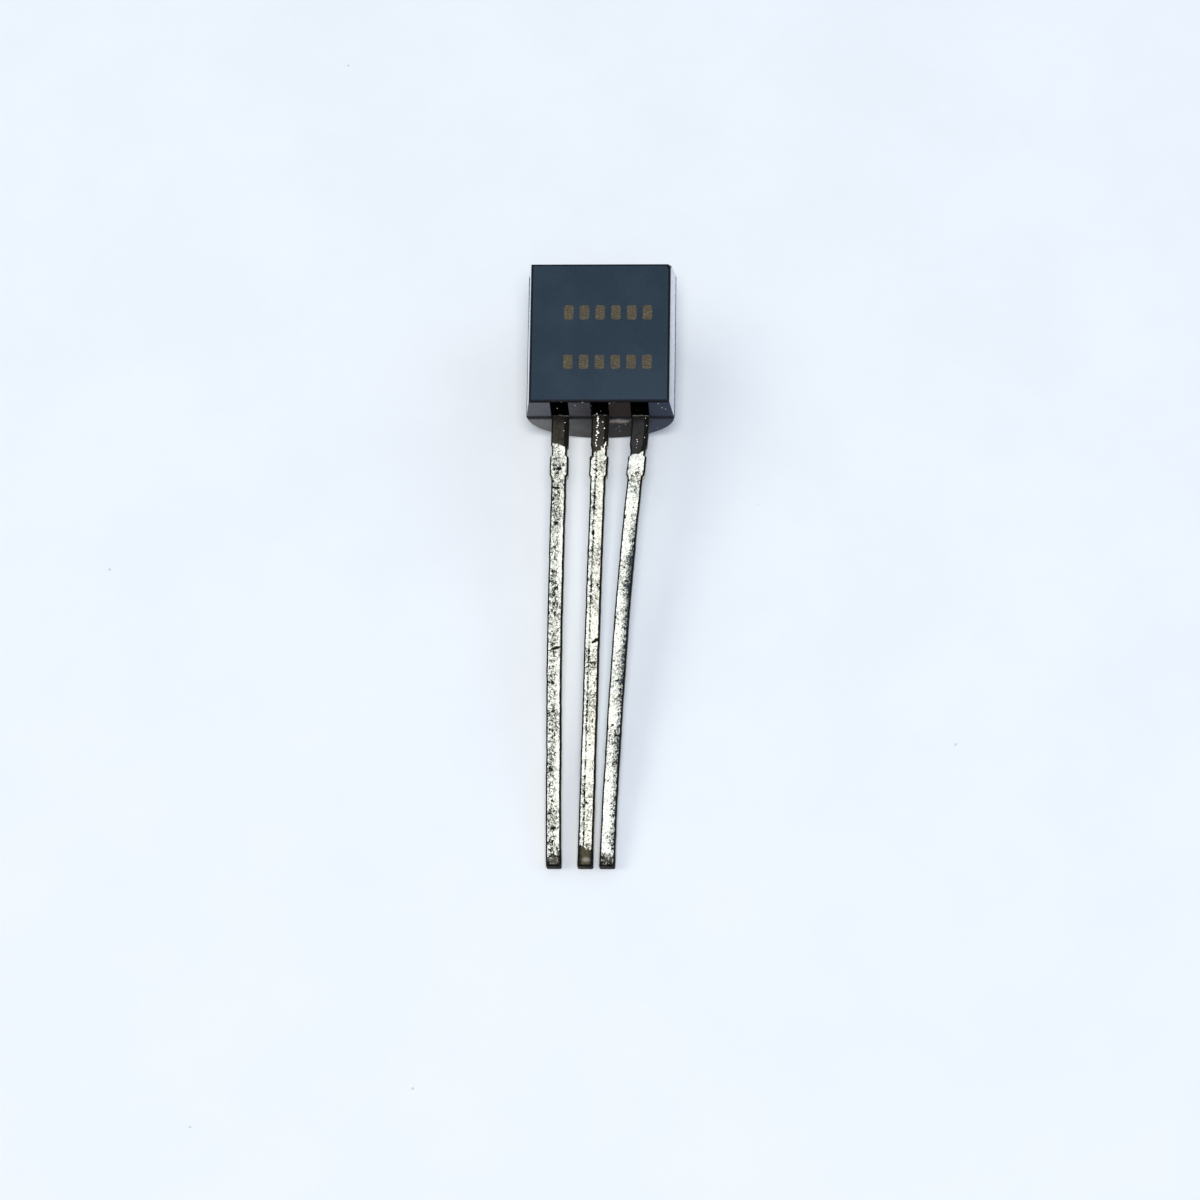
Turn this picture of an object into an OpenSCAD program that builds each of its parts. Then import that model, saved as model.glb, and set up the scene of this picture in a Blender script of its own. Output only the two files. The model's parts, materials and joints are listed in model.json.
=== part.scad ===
// Three-lead transistor in a moulded D-shaped package, lying as it comes to rest on a flat surface.
//
// Every piece is drawn upright, in the package's own axes: x across the leads, z up the body from
// its lower parting edge, y through it, with the lead frame centred on y = 0 and the flat face
// towards -y. lie_down() then lays the whole package on its back edge and its lead tips:
// leads towards -Y, flat face up, the surface at Z = 0.

/* [Body] */
// Width of the body at its parting plane
body_w = 4.7; // [4.4:0.05:5.2]
// Height of the body at its parting plane
body_h = 4.85; // [4.4:0.05:5.3]
// Depth from the parting plane to the flat face
front_depth = 1.25; // [1.05:0.05:1.5]
// Draft of the side walls towards the flat face, in degrees
side_draft = 6; // [3:0.5:8]
// Draft of the top and the bottom towards both faces, in degrees
end_draft = 4; // [2:0.5:6]
// Rounding of the flat face's edges
edge_r = 0.1; // [0.05:0.01:0.2]
// Rounding of the curved back's edges at both ends
rim_edge_r = 0.08; // [0.05:0.01:0.12]
// Depth of the slot in front of each lead, where it leaves the body
slot_h = 0.55; // [0.4:0.05:0.7]
// Width of the lip that the flat face keeps in front of each slot
slot_lip = 0.05; // [0.03:0.01:0.15]
// Diameter of the ejector pin's mark on the curved back
ejector_d = 1.2; // [0.8:0.1:1.6]
// Height of the ejector mark's centre above the lower edge
ejector_up = 2.9; // [2:0.1:3.2]
// Depth of the ejector mark, measured down from the crown of the curved back
ejector_sink = 0.1; // [0.08:0.01:0.14]
// Width of the gate scar on top
gate_w = 0.9; // [0.6:0.1:1.4]
// Thickness of the gate scar
gate_t = 0.22; // [0.15:0.01:0.3]
// How far the gate scar stands proud
gate_out = 0.05; // [0.03:0.01:0.08]

/* [Leads] */
// Spacing of the leads where they leave the body
pitch = 1.27; // [1.15:0.01:1.39]
// Width of a lead
lead_w = 0.48; // [0.4:0.01:0.52]
// Thickness of the lead frame's sheet
lead_t = 0.4; // [0.34:0.01:0.46]
// Length of the leads below the body's lower parting edge
lead_len = 14.8; // [12.7:0.1:16]
// Width of a lead's root, between the body and the cut tie bar
root_w = 0.55; // [0.52:0.01:0.6]
// Length of the root below the body
root_len = 1; // [0.7:0.05:1.2]
// Distance from the body to the stubs of the cut tie bar
stub_down = 1.35; // [1.25:0.05:1.5]
// Height of the tie bar's stubs
stub_h = 0.65; // [0.4:0.05:0.9]
// Width of a lead across its two stubs
stub_w = 0.59; // [0.56:0.01:0.66]

/* [Bends] */
// Straight length of each lead below the body, before it is bent
bend_down = 0.4; // [0.2:0.05:0.7]
// Sideways shift of the collector lead's tip
collector_shift = 0.04; // [-0.2:0.01:0.2]
// Sideways shift of the base lead's tip
base_shift = -0.24; // [-0.3:0.01:0.2]
// Gap left between the tips of the base lead and the emitter lead
tip_gap = 0.18; // [0.1:0.01:0.6]
// Sideways bow of the collector lead between its bend and its tip
collector_bow = -0.06; // [-0.1:0.01:0.1]
// Sideways bow of the base lead
base_bow = -0.03; // [-0.1:0.01:0.1]
// Sideways bow of the emitter lead
emitter_bow = -0.12; // [-0.2:0.01:0.1]

/* [Lead heads] */
// Gap between neighbouring heads inside the body
head_gap = 0.4; // [0.3:0.05:0.5]
// Moulding compound above the die paddle
paddle_cover = 1.15; // [0.9:0.05:1.4]
// How far the paddle reaches outwards past the collector's centre line
paddle_out = 0.35; // [0.3:0.05:0.5]
// Height of the base post's head above the lower edge
post_up = 1.5; // [1.3:0.05:1.7]
// Width of the base post's head
post_w = 0.9; // [0.7:0.05:1]
// Height of the heads of the base and emitter posts
post_h = 0.55; // [0.45:0.05:0.65]
// Width of the emitter post's head
flag_w = 0.76; // [0.7:0.02:0.9]
// Height of the emitter post above the base post
flag_up = 1.3; // [1:0.05:1.5]
// Chamfer of the stamped corners
head_chamfer = 0.12; // [0.05:0.01:0.2]
// Diameter of the hole that locks the paddle in the compound
lock_d = 0.4; // [0.3:0.05:0.5]
// Depth of the locking notches in each root
notch_r = 0.09; // [0.05:0.01:0.12]

/* [Die and bonds] */
// Side of the silicon die
die_w = 0.45; // [0.35:0.01:0.6]
// How far the die sits from the paddle's middle, towards the posts
die_aside = 0.25; // [0:0.05:0.4]
// Distance of the bond pads from the die's edges
pad_inset = 0.13; // [0.1:0.01:0.16]
// Thickness of the die
die_t = 0.2; // [0.15:0.01:0.28]
// Thickness of the die attach
attach_t = 0.03; // [0.02:0.005:0.05]
// Fillet of die attach that shows round the die
attach_out = 0.05; // [0.03:0.01:0.1]
// Diameter of the bond wires
wire_d = 0.03; // [0.02:0.005:0.05]
// Diameter of the ball bonds on the die
ball_d = 0.1; // [0.08:0.01:0.14]
// Height of the wire loops above the die
loop_h = 0.3; // [0.2:0.02:0.4]

/* [Hidden] */

through = 0.5;    // how far a cutting shape runs past what it cuts
corner_steps = 4; // flats that round a corner of the flat face
bend_steps = 18;  // straight stretches that make up one bent lead
loop_steps = 9;   // stretches that make up the free span of a bond wire
wire_sides = 8;   // sides of a bond wire's section
rim_turn = 75;    // how far the rounding of a curved edge turns at its crown, in degrees

body_r = body_w / 2;                                  // the curved back is half a cylinder
front_shrink = front_depth * tan(end_draft);          // height lost at each end of the flat face
back_shrink = body_r * tan(end_draft);                // and at each end of the curved back
face_w = body_w - 2 * front_depth * tan(side_draft);  // width of the flat face

// The curved back's rounded edges: the circle they are swept round, and how far up one meets the crown
rim_r = (body_r - rim_edge_r * (sin(rim_turn) - sin(end_draft))) / cos(end_draft);
crown_up = rim_r * sin(end_draft) + rim_edge_r * (cos(end_draft) - cos(rim_turn));

emitter_shift = base_shift + lead_w + tip_gap - pitch;
collector = [-pitch, collector_shift, collector_bow];  // each lead: its place, its tip's shift, its bow
base = [0, base_shift, base_bow];
emitter = [pitch, emitter_shift, emitter_bow];

paddle_top = body_h - paddle_cover;
paddle_bottom = post_up + head_gap;
paddle_left = -pitch - paddle_out;
paddle_right = pitch - flag_w / 2 - head_gap;
paddle_mid = [(paddle_left + paddle_right) / 2, (paddle_top + paddle_bottom) / 2];
flag_top = post_up + flag_up;

die_at = paddle_mid + [die_aside, 0];
die_top = attach_t + die_t;  // height above the lead frame's front
pad_out = die_w / 2 - pad_inset;
base_pad = die_at - [pad_out, pad_out];
emitter_pad = die_at + [pad_out, pad_out];
base_foot = [0, post_up - post_h / 2];
emitter_foot = [pitch, flag_top - post_h / 2];

// The package rests on the lower edge of its curved back and on its lead tips
lie_angle = atan((body_r - lead_t / 2) / (lead_len + crown_up));
lie_lift = body_r * cos(lie_angle) - crown_up * sin(lie_angle);
tip_reach = lead_len * cos(lie_angle) + lead_t / 2 * sin(lie_angle);
top_reach = body_h * cos(lie_angle) + rim_r * sin(lie_angle - end_draft)
            + rim_edge_r * (1 - cos(lie_angle - end_draft));

// ---- placing ----

// Lays the upright package down, centred over the origin
module lie_down() {
    translate([0, (tip_reach - top_reach) / 2, lie_lift])
        rotate([lie_angle - 90, 0, 0])
            children();
}

// Stands an outline drawn in x and z on the lead frame's plane, as a sheet of thickness t
module sheet(t) {
    rotate([90, 0, 0])
        linear_extrude(height = t, center = true)
            children();
}

// ---- moulded body ----

// Points of a corner of radius edge_r about c, from angle a to angle b
function corner(c, a, b) =
    [for (i = [0:corner_steps]) let (q = a + (b - a) * i / corner_steps) c + edge_r * [cos(q), sin(q)]];

// Flat front half in plan: two drafted sides and two rounded corners
module front_plan() {
    y = edge_r - front_depth;
    x = face_w / 2 + edge_r * tan(side_draft) - edge_r / cos(side_draft);
    polygon(concat([[-body_r, 0]], corner([-x, y], 180 + side_draft, 270),
                   corner([x, y], 270, 360 - side_draft), [[body_r, 0]]));
}

// Curved back half in plan
module back_plan() {
    intersection() {
        circle(r = body_r, $fn = 96);
        translate([-body_w, 0])
            square([2 * body_w, body_w]);
    }
}

// The body's side view: drafted both ways from the parting plane
module side_view() {
    y = edge_r - front_depth;
    z = front_shrink - edge_r * tan(end_draft) + edge_r / cos(end_draft);
    polygon(concat([[0, body_h]], corner([y, body_h - z], 90 + end_draft, 180),
                   corner([y, z], 180, 270 - end_draft),
                   [[0, 0], [body_r, back_shrink], [body_r, body_h - back_shrink]]));
}

module body_blank() {
    intersection() {
        translate([0, 0, -through])
            linear_extrude(height = body_h + 2 * through)
                union() {
                    front_plan();
                    back_plan();
                }
        rotate([90, 0, 90])
            linear_extrude(height = 2 * body_w, center = true)
                side_view();
    }
}

// What the rounding takes off the lower edge of the curved back
module rim_cut() {
    intersection() {
        rotate([end_draft, 0, 0])
            rotate_extrude($fn = 96)
                difference() {
                    translate([rim_r, -through])
                        square([rim_edge_r + through, rim_edge_r + through]);
                    translate([rim_r, rim_edge_r])
                        circle(r = rim_edge_r, $fn = 48);
                }
        translate([-body_w, 0, -body_w])
            cube([2 * body_w, body_w, 2 * body_w]);
    }
}

// Slot in front of a lead, from behind the flat face's lip, sloping up to the lead
module exit_slot(x) {
    lip = slot_lip - front_depth;
    translate([x, 0, 0])
        rotate([90, 0, 90])
            linear_extrude(height = root_w, center = true)
                polygon([[lip, -through], [lip, front_shrink], [-lead_t / 2, slot_h], [0, slot_h],
                         [0, -through]]);
}

// Flat left by the ejector pin on the curved back
module ejector_mark() {
    translate([0, body_r - ejector_sink, ejector_up])
        rotate([-90, 0, 0])
            cylinder(d = ejector_d, h = ejector_sink + through, $fn = 48);
}

// Scar where the gate was broken off the top
module gate_scar() {
    translate([-gate_w / 2, -gate_t / 2, body_h - through])
        cube([gate_w, gate_t, through + gate_out]);
}

module epoxy_body() {
    color("#38424f")
        lie_down()
            difference() {
                union() {
                    body_blank();
                    gate_scar();
                }
                rim_cut();
                translate([0, 0, body_h])
                    mirror([0, 0, 1])
                        rim_cut();
                for (lead = [collector, base, emitter])
                    exit_slot(lead[0]);
                ejector_mark();
                collector_shape();
                base_shape();
                emitter_shape();
                attach_shape();
                die_shape();
                bond_wire(base_pad, base_foot);
                bond_wire(emitter_pad, emitter_foot);
            }
}

// ---- lead frame ----

// Sideways place of a lead's centre line at height z: straight at the root, then leaning and bowed
function lead_x(lead, z) =
    let (t = max(0, (-z - bend_down) / (lead_len - bend_down))) lead[0] + lead[1] * t + lead[2] * sin(180 * t);

// Stretch of a lead of width w between two heights, following its bend
module run(lead, top, bottom, w) {
    steps = max(1, round(bend_steps * (top - bottom) / lead_len));
    heights = [for (i = [0:steps]) top + (bottom - top) * i / steps];
    polygon(concat([for (z = heights) [lead_x(lead, z) - w / 2, z]],
                   [for (i = [steps:-1:0]) [lead_x(lead, heights[i]) + w / 2, heights[i]]]));
}

// A whole lead below its head: the root, the stubs of the cut tie bar and the long leg
module leg(lead, top) {
    difference() {
        run(lead, top, -root_len, root_w);
        for (side = [-1, 1])
            translate([lead[0] + side * root_w / 2, (slot_h + post_up - post_h) / 2])
                circle(r = notch_r, $fn = 32);
    }
    run(lead, -root_len + root_w / 2, -lead_len, lead_w);
    run(lead, -stub_down, -stub_down - stub_h, stub_w);
}

// Stamped plate with chamfered corners, between two x and two z
module plate(left, right, bottom, top) {
    c = head_chamfer;
    polygon([[left + c, bottom], [right - c, bottom], [right, bottom + c], [right, top - c],
             [right - c, top], [left + c, top], [left, top - c], [left, bottom + c]]);
}

// Collector lead: its head is the paddle that carries the die
module collector_shape() {
    sheet(lead_t)
        difference() {
            union() {
                leg(collector, paddle_bottom + root_w / 2);
                plate(paddle_left, paddle_right, paddle_bottom, paddle_top);
            }
            translate([paddle_left + lock_d, paddle_top - lock_d])
                circle(d = lock_d, $fn = 48);
        }
}

module base_shape() {
    sheet(lead_t) {
        leg(base, post_up - post_h / 2);
        plate(-post_w / 2, post_w / 2, post_up - post_h, post_up);
    }
}

module emitter_shape() {
    sheet(lead_t) {
        leg(emitter, flag_top - post_h / 2);
        plate(pitch - flag_w / 2, pitch + flag_w / 2, flag_top - post_h, flag_top);
    }
}

module collector_lead() {
    color("#c9c8bf")
        lie_down()
            collector_shape();
}

module base_lead() {
    color("#c9c8bf")
        lie_down()
            base_shape();
}

module emitter_lead() {
    color("#c9c8bf")
        lie_down()
            emitter_shape();
}

// ---- die and its bonds ----

// Square slab of side w and thickness t, lying at height h over the lead frame's front
module slab(w, t, h) {
    translate([die_at[0] - w / 2, -lead_t / 2 - h - t, die_at[1] - w / 2])
        cube([w, t, w]);
}

module attach_shape() {
    slab(die_w + 2 * attach_out, attach_t, 0);
}

module die_shape() {
    slab(die_w, die_t, attach_t);
}

module die_attach() {
    color("#9aa0a3")
        lie_down()
            attach_shape();
}

module silicon_die() {
    color("#4b5263")
        lie_down()
            die_shape();
}

// Point of a cubic curve with control points p
function curve(p, t) =
    pow(1 - t, 3) * p[0] + 3 * pow(1 - t, 2) * t * p[1] + 3 * (1 - t) * t * t * p[2] + t * t * t * p[3];

// Stations of a bond wire, as [reach, height, radius]: the ball and its neck, then the loop
function bond_stations(reach) =
    let (neck = die_top + ball_d * 0.6,
         crest = die_top + loop_h,
         span = [[0, neck], [0, crest], [reach * 0.5, crest], [reach, 0]])
    concat([[0, die_top, ball_d * 0.4], [0, die_top + ball_d * 0.2, ball_d / 2],
            [0, die_top + ball_d * 0.4, ball_d * 0.4], [0, neck, wire_d / 2]],
           [for (i = [1:loop_steps]) let (p = curve(span, i / loop_steps)) [p[0], p[1], wire_d / 2]]);

// Ball-bonded wire from a pad on the die to its foot on a post, as one closed skin.
// Its first ring lies flat on the die, and its last is cut flat on the post.
module bond_wire(pad, foot) {
    reach = norm(foot - pad);
    along = (foot - pad) / reach;
    s = bond_stations(reach);
    last = len(s) - 1;
    ring = [for (i = [0:last], k = [0:wire_sides - 1])
        let (d = i == 0 ? [0, 1] : [s[min(i + 1, last)][0] - s[i - 1][0], s[min(i + 1, last)][1] - s[i - 1][1]],
             t = d / norm(d),
             q = 360 * k / wire_sides,
             side = s[i][2] * sin(q),
             u = s[i][0] - s[i][2] * cos(q) * t[1],
             v = s[i][1] + s[i][2] * cos(q) * t[0],
             drop = i == last ? v / t[1] : 0)
        [(u - drop * t[0]), side, v - drop * t[1]]];
    points = [for (r = ring)
        [pad[0] + along[0] * r[0] - along[1] * r[1], -lead_t / 2 - r[2], pad[1] + along[1] * r[0] + along[0] * r[1]]];
    skin = [for (i = [0:last - 1], k = [0:wire_sides - 1])
        let (a = i * wire_sides + k,
             b = i * wire_sides + (k + 1) % wire_sides)
        each [[a, b, b + wire_sides], [a, b + wire_sides, a + wire_sides]]];
    polyhedron(points, concat(skin, [[for (k = [wire_sides - 1:-1:0]) k]],
                              [[for (k = [0:wire_sides - 1]) last * wire_sides + k]]));
}

module base_bond_wire() {
    color("#d6a63a")
        lie_down()
            bond_wire(base_pad, base_foot);
}

module emitter_bond_wire() {
    color("#d6a63a")
        lie_down()
            bond_wire(emitter_pad, emitter_foot);
}

epoxy_body();
collector_lead();
base_lead();
emitter_lead();
die_attach();
silicon_die();
base_bond_wire();
emitter_bond_wire();
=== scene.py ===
"""Three-lead transistor in a D-shaped moulded body, lying on a pale sheet with its flat face up."""

import json
import math
import random

import bmesh
import bpy
from mathutils import Matrix, Vector

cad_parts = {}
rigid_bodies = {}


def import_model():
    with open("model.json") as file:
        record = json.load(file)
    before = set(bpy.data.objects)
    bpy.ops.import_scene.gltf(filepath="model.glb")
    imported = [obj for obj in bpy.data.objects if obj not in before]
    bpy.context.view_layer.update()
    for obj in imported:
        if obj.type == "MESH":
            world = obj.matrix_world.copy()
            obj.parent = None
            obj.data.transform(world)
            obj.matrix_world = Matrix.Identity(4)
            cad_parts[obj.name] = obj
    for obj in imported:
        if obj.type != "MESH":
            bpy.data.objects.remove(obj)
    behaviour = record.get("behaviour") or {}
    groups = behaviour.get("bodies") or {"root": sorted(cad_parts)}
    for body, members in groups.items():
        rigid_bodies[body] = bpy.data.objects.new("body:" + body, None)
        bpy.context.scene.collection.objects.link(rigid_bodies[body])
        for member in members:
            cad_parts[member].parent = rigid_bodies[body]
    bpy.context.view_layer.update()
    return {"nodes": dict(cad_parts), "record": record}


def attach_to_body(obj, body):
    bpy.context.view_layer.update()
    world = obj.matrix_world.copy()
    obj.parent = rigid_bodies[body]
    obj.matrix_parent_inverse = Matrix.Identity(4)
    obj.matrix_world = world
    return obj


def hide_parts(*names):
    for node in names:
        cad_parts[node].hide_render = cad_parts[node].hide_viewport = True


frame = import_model()

bl_info = {
    "name": "Three-Lead Transistor",
    "version": (1, 0, 0),
    "blender": (4, 5, 0),
    "location": "View3D > Sidebar > Transistor",
    "description": "Builds and dresses a small transistor in a D-shaped moulded body",
    "category": "Add Mesh",
}

MM = 0.001
MOUNTS = {mount["name"]: mount for mount in frame["record"]["mounts"]}

# The package is drawn upright in millimetres: x across the leads, z up the body from its lower
# parting edge, flat face towards -y. Its mounts say how far it leans back as it lies, and where.
LEAN = math.asin(-MOUNTS["flat_front"]["axis"][1])
PACKAGE_ORIGIN = Vector(MOUNTS["lead_row"]["pos_m"])
LIE_TURN = LEAN - math.pi / 2
LIE_DOWN = Matrix.Translation(PACKAGE_ORIGIN) @ Matrix.Rotation(LIE_TURN, 4, "X")


# ---- sizes and colours ----

def linear(code):
    """Linear colour of an sRGB hex code, with a full alpha."""
    parts = [int(code[i:i + 2], 16) / 255 for i in (1, 3, 5)]
    return tuple(p / 12.92 if p <= 0.04045 else ((p + 0.055) / 1.055) ** 2.4 for p in parts) + (1.0,)


def length(name, millimetres, description):
    return bpy.props.FloatProperty(
        name=name, description=description, default=millimetres * MM,
        soft_min=0.0, precision=5, unit="LENGTH", subtype="DISTANCE")


def shift(name, millimetres, description):
    return bpy.props.FloatProperty(
        name=name, description=description, default=millimetres * MM,
        precision=5, unit="LENGTH", subtype="DISTANCE")


def angle(name, degrees, description):
    return bpy.props.FloatProperty(
        name=name, description=description, default=math.radians(degrees),
        unit="ROTATION", subtype="ANGLE")


def power(name, watts, description):
    return bpy.props.FloatProperty(name=name, description=description, default=watts, min=0.0, unit="POWER")


def colour(name, code, description):
    return bpy.props.FloatVectorProperty(
        name=name, description=description, default=linear(code),
        size=4, min=0.0, max=1.0, subtype="COLOR")


class BodySizes(bpy.types.PropertyGroup):
    width: length("Width", 4.7, "Width of the body at its parting plane")
    height: length("Height", 4.85, "Height of the body at its parting plane")
    front_depth: length("Front depth", 1.25, "Depth from the parting plane to the flat face")
    side_draft: angle("Side draft", 6, "Draft of the side walls towards the flat face")
    end_draft: angle("End draft", 4, "Draft of the top and the bottom towards both faces")
    face_edge: length("Face edge", 0.1, "Rounding of the flat face's edges")
    rim_edge: length("Rim edge", 0.08, "Rounding of the curved back's edges at both ends")
    flash: length("Flash", 0.012, "How far the mould's flash stands proud along the parting line")
    slot_width: length("Slot width", 0.58, "Width of the slot in front of each lead")
    slot_height: length("Slot height", 0.55, "Depth of the slot in front of each lead")
    slot_lip: length("Slot lip", 0.05, "Lip that the flat face keeps in front of each slot")
    ejector_width: length("Ejector mark", 1.2, "Diameter of the ejector pin's mark")
    ejector_up: length("Ejector height", 2.9, "Height of the ejector mark above the lower edge")
    ejector_sink: length("Ejector depth", 0.1, "Depth of the ejector mark under the crown")
    gate_width: length("Gate width", 0.9, "Width of the gate scar on top")
    gate_thick: length("Gate thickness", 0.22, "Thickness of the gate scar")
    gate_out: length("Gate height", 0.05, "How far the gate scar stands proud")
    worn_corner: length("Worn corner", 0.2, "How much is worn off the flat face's top right corner")


class LeadSizes(bpy.types.PropertyGroup):
    pitch: length("Pitch", 1.27, "Spacing of the leads where they leave the body")
    width: length("Width", 0.48, "Width of a lead")
    thick: length("Thickness", 0.4, "Thickness of the lead frame's sheet")
    reach: length("Length", 14.8, "Length of the leads below the body")
    edge: length("Edge", 0.05, "Rounding that the tin gives a lead's edges")
    root_width: length("Root width", 0.55, "Width of a lead's root")
    root_length: length("Root length", 1.0, "Length of the root below the body")
    stub_down: length("Stub distance", 1.35, "Distance from the body to the cut tie bar's stubs")
    stub_height: length("Stub height", 0.65, "Height of the tie bar's stubs")
    stub_width: length("Stub width", 0.59, "Width of a lead across its stubs")
    bend_down: length("Bend distance", 0.4, "Straight length below the body, before the bend")
    collector_shift: shift("Collector shift", 0.04, "Sideways shift of the collector's tip")
    collector_bow: shift("Collector bow", -0.06, "Sideways bow of the collector lead")
    base_shift: shift("Base shift", -0.24, "Sideways shift of the base's tip")
    base_bow: shift("Base bow", -0.03, "Sideways bow of the base lead")
    emitter_shift: shift("Emitter shift", -0.85, "Sideways shift of the emitter's tip")
    emitter_bow: shift("Emitter bow", -0.12, "Sideways bow of the emitter lead")
    head_chamfer: length("Head chamfer", 0.12, "Chamfer of the heads' stamped corners")


class MarkSizes(bpy.types.PropertyGroup):
    across: bpy.props.IntProperty(name="Blocks", description="Plain blocks in a row", default=6, min=1)
    block_width: length("Block width", 0.30, "Width of one plain block")
    block_height: length("Block height", 0.48, "Height of one plain block")
    block_pitch: length("Block pitch", 0.5, "Spacing of the blocks along a row")
    row_pitch: length("Row pitch", 1.67, "Spacing of the two rows")
    first_row: length("First row", 1.66, "Distance of the upper row's middle from the top edge")
    aside: shift("Aside", 0.25, "How far the rows sit from the face's middle")


class Finishes(bpy.types.PropertyGroup):
    compound: colour("Compound", "#243340", "Epoxy moulding compound")
    bloom: colour("Bloom", "#303f4e", "Paler bloom of the mould release")
    # paler grey on the side walls: partly rubbed wear, partly painted sheen
    rubbed_and_sheen: colour("Rubbed wall", "#434c57", "Compound rubbed paler on the side walls")
    # near black; also the colour of the painted shadow along the parting line
    edge: colour("Face edges", "#0a0e14", "Compound polished dark on the flat face's edges")
    # painted light and shade on the lower end: lighter towards the collector and bluish towards the emitter,
    # darker between the base and the emitter where the leads shade it, with other tones behind the parting line
    end_lit_left: colour("Dusty end, left", "#5f6166", "Dust on the ends towards the collector")
    end_shade_middle: colour("Dusty end, middle", "#28201b", "Dust on the ends between the base and the emitter")
    end_shaded: colour("Dusty end, shaded", "#1f1a17", "Dust behind the parting line, by the emitter")
    end_lit_right: colour("Dusty end, right", "#333848", "Dust on the ends towards the emitter")
    end_lit_behind: colour("Dusty end, behind", "#757371", "Dust behind the parting line, by the collector")
    scrape: colour("Scrape", "#a0938c", "Compound scraped pale on the end")
    # painted shade: near black for the compound deep in the slots, and for the leads inside them
    slot: colour("Slot", "#020203", "Compound deep in the slots")
    # pale filler grains, which also stand as painted glints
    filler: colour("Filler grains", "#d8dade", "Bare grains of silica filler")
    laser: colour("Laser mark", "#544d3b", "Compound bleached by the laser")
    laser_deep: colour("Laser burn", "#3f3826", "Compound burnt by the laser")
    laser_pale: colour("Laser scuffs", "#88837a", "Marked compound that is scuffed pale")
    tin: colour("Tin", "#fbfdf9", "Bright tin")
    tin_warm: colour("Warm tin", "#f5f2e3", "Tin with a thin yellowish oxide")
    tin_grey: colour("Grey tin", "#abaea9", "Duller tin between the bright grains")
    sheared: colour("Sheared sides", "#bcb39c", "Warm thin tin on the sheared sides of the leads")
    pit: colour("Pits", "#191a17", "Pits and cracks in the tin")
    # painted shade: the dark flank of a leaning lead
    shade: colour("Dark flank", "#232c38", "Dark oxide along a lead's flank")
    oxide: colour("Oxide", "#3d3a37", "Oxide on the bare roots")
    cut_end: colour("Cut end", "#474536", "Bare metal at the cut tips")
    silicon: colour("Silicon", "#5a6274", "Polished silicon")
    attach: colour("Die attach", "#8f9294", "Dull alloy under the die")
    gold: colour("Gold", "#e6b450", "Gold bond wire")


class StageSettings(bpy.types.PropertyGroup):
    paper: colour("Paper", "#f0f8ff", "Pale sheet that the part lies on")
    sky: colour("Surroundings", "#f8fafd", "Pale surroundings, as bright metal shows them")
    sky_light: colour("Soft light", "#d7e6ff", "Soft light from all round")
    sky_strength: bpy.props.FloatProperty(
        name="Surroundings strength", description="Strength of the light from all round", default=0.39, min=0.0)
    key_power: power("Key power", 2.12, "Power of the broad lamp over the leads")
    warm_power: power("Warm power", 0.47, "Power of the broad warm lamp at the left")
    cool_power: power("Cool power", 0.12, "Power of the cool lamp at the right")
    key_tint: colour("Key tint", "#fff9f4", "Colour of the broad lamp")
    warm_tint: colour("Warm tint", "#fff0cf", "Colour of the warm lamp")
    cool_tint: colour("Cool tint", "#d3e2ff", "Colour of the cool lamp")
    distance: length("Camera distance", 170.0, "Distance from the camera to the point it looks at")
    frame_width: length("Frame width", 37.67, "Width of the view where the camera looks")
    look_down: angle("Seen from below", 18.376, "Angle from the flat face's normal towards the lead side")
    look_aside: angle("Seen from the right", 2.659, "Angle from the flat face's normal towards the right")
    roll: angle("Roll", 0.895, "Turn of the camera about its line of sight")
    aim_x: shift("Aim across", 0.074, "Place that the camera looks at, across the leads")
    aim_z: shift("Aim along", -6.09, "Place that the camera looks at, along the leads")


# ---- mesh helpers ----

def mm(value):
    """A size of the part in millimetres, in which the pieces are drawn."""
    return value / MM


def finish_mesh(bm, name, sharp=35.0):
    """Lays a piece drawn upright in millimetres down in its place, and makes its object."""
    bmesh.ops.remove_doubles(bm, verts=bm.verts[:], dist=1e-5)
    bmesh.ops.recalc_face_normals(bm, faces=bm.faces[:])
    bmesh.ops.transform(bm, matrix=LIE_DOWN @ Matrix.Scale(MM, 4), verts=bm.verts[:])
    for face in bm.faces:
        face.smooth = True
    for edge in bm.edges:
        edge.smooth = not (edge.is_manifold and edge.calc_face_angle(0.0) > math.radians(sharp))
    mesh = bpy.data.meshes.new(name)
    bm.to_mesh(mesh)
    bm.free()
    piece = bpy.data.objects.new(name, mesh)
    bpy.context.scene.collection.objects.link(piece)
    return piece


def soften(piece, width, limit):
    """Rounds what is still a sharp edge of a piece."""
    bevel = piece.modifiers.new("Soft edges", "BEVEL")
    bevel.width = width
    bevel.segments = 2
    bevel.limit_method = "ANGLE"
    bevel.angle_limit = math.radians(limit)
    bevel.harden_normals = True


def rectangle(bm, width, depth, radius=0.0, segments=3):
    """First face of a new piece: a flat rectangle in x and y, with rounded corners, about the origin."""
    made = bmesh.ops.create_grid(bm, x_segments=1, y_segments=1, size=0.5)
    bmesh.ops.scale(bm, vec=(width, depth, 1.0), verts=made["verts"])
    if radius:
        bmesh.ops.bevel(bm, geom=made["verts"], offset=radius, offset_type="OFFSET", segments=segments,
                        profile=0.5, affect="VERTICES", material=-1)
    bm.faces.ensure_lookup_table()
    return bm.faces[0]


def pull(bm, face, move, scale=(1.0, 1.0)):
    """Extrudes one face, moves it and scales it across about its centre. Returns the new face."""
    made = bmesh.ops.extrude_discrete_faces(bm, faces=[face])
    new = made["faces"][0]
    verts = list(new.verts)
    bmesh.ops.translate(bm, vec=move, verts=verts)
    if scale != (1.0, 1.0):
        bmesh.ops.scale(bm, vec=(scale[0], scale[1], 1.0), verts=verts,
                        space=Matrix.Translation(-new.calc_center_median()))
    return new


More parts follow.
